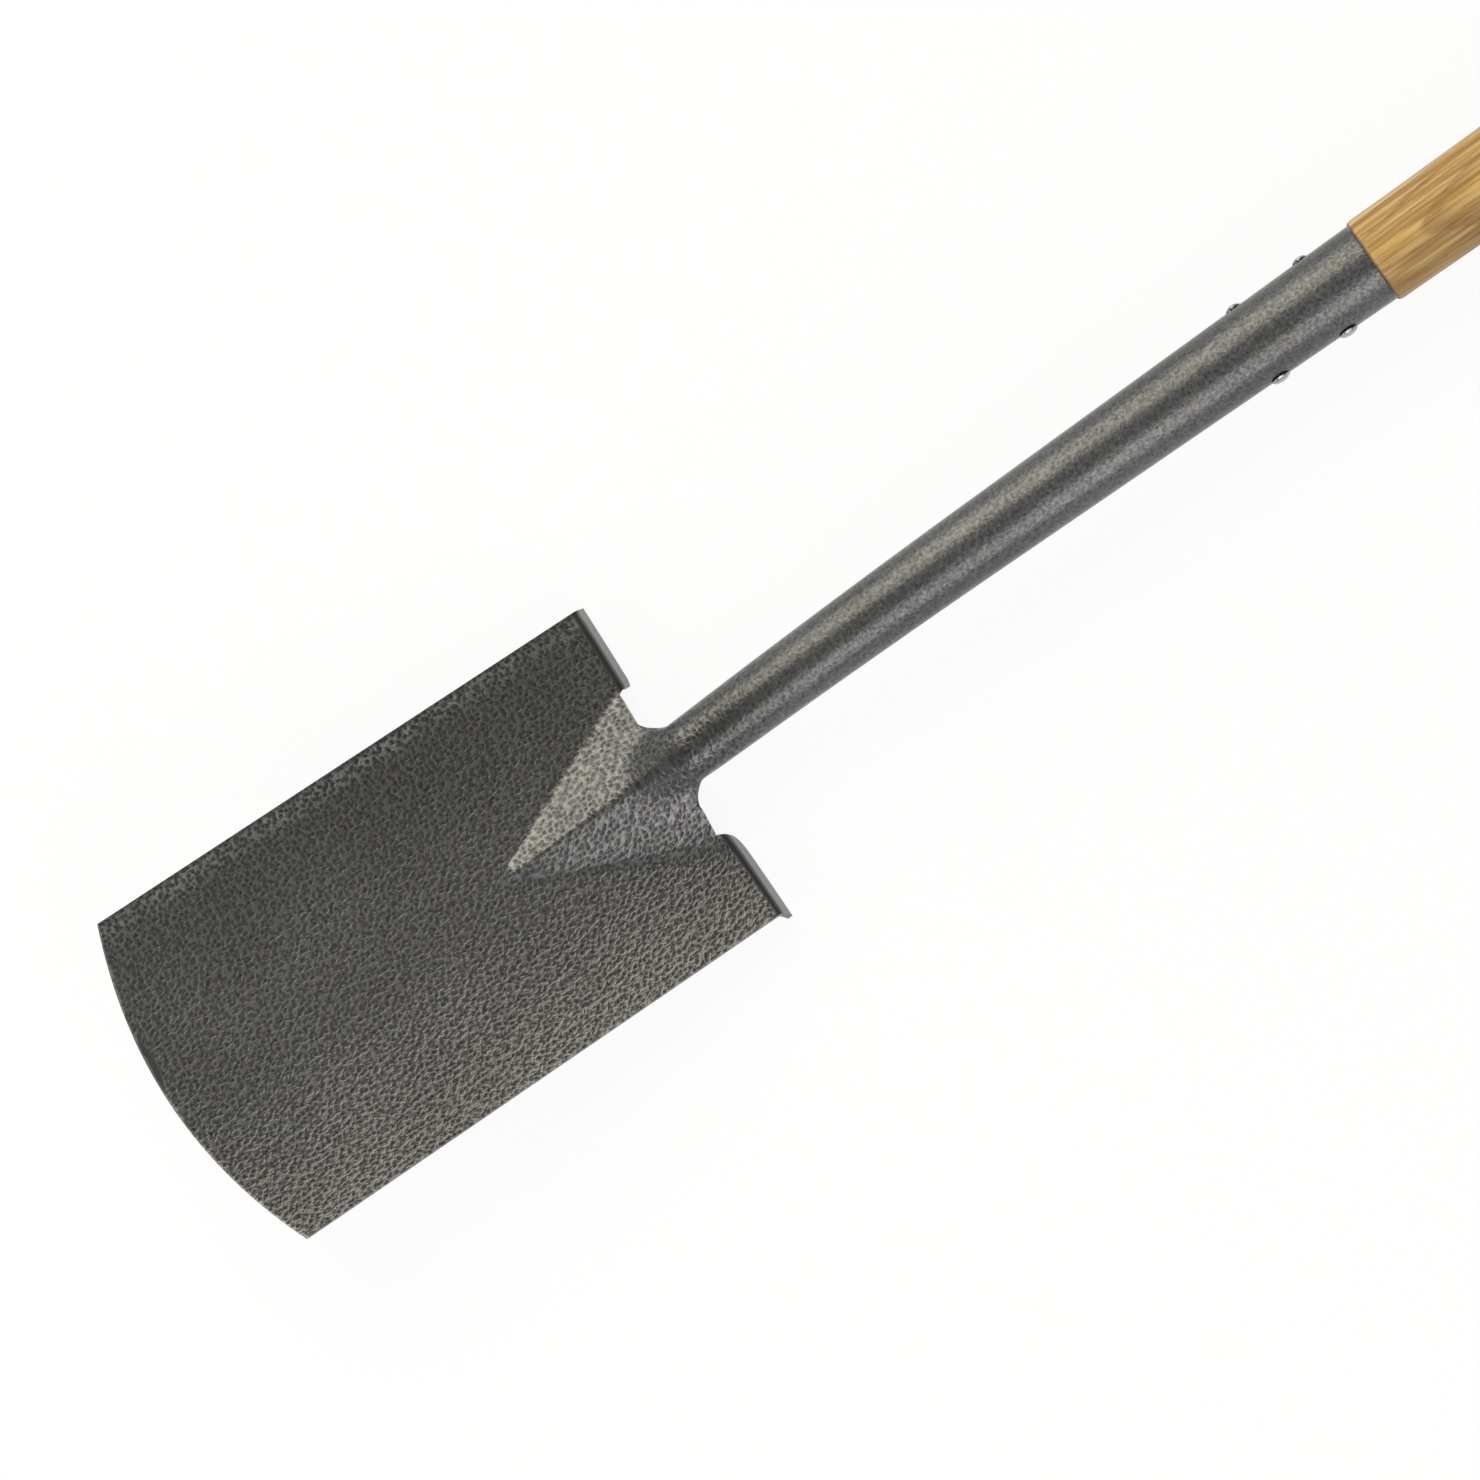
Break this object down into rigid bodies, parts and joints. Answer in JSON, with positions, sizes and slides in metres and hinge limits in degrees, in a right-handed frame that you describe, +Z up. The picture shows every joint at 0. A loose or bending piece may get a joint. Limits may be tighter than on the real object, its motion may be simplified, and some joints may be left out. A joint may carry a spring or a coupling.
{
  "type": "border spade",
  "caption": "Small digging spade with a dished pressed head, folded treads, a long riveted socket and an ash shaft with a split wishbone top and cross grip.",
  "frame": {"origin": "middle of the underside of the whole spade's box as it lies on its back on the ground, front face up", "axes": "+X along the spade from the cutting edge to the grip, +Y across it, to the left as one looks at the front face with the cutting edge down, +Z up, out of the front face"},
  "size_m": [0.9998, 0.1424, 0.0473],
  "materials": {
    "hammered_paint": "grey hammered paint, semi-gloss",
    "ash_wood": "lacquered ash with grain along the shaft",
    "bright_steel": "plain steel, lightly polished",
    "painted_rivet": "grey paint, worn bright on top"
  },
  "bodies": {
    "root": {"spade_head": "hammered_paint", "shaft": "ash_wood", "grip_bar": "ash_wood", "socket_rivet_lower": "painted_rivet", "socket_rivet_upper": "painted_rivet", "throat_rivet": "bright_steel", "throat_washer_left": "bright_steel", "throat_washer_right": "bright_steel", "grip_rod": "bright_steel", "grip_washer_left": "bright_steel", "grip_washer_right": "bright_steel"}
  },
  "joints": []
}
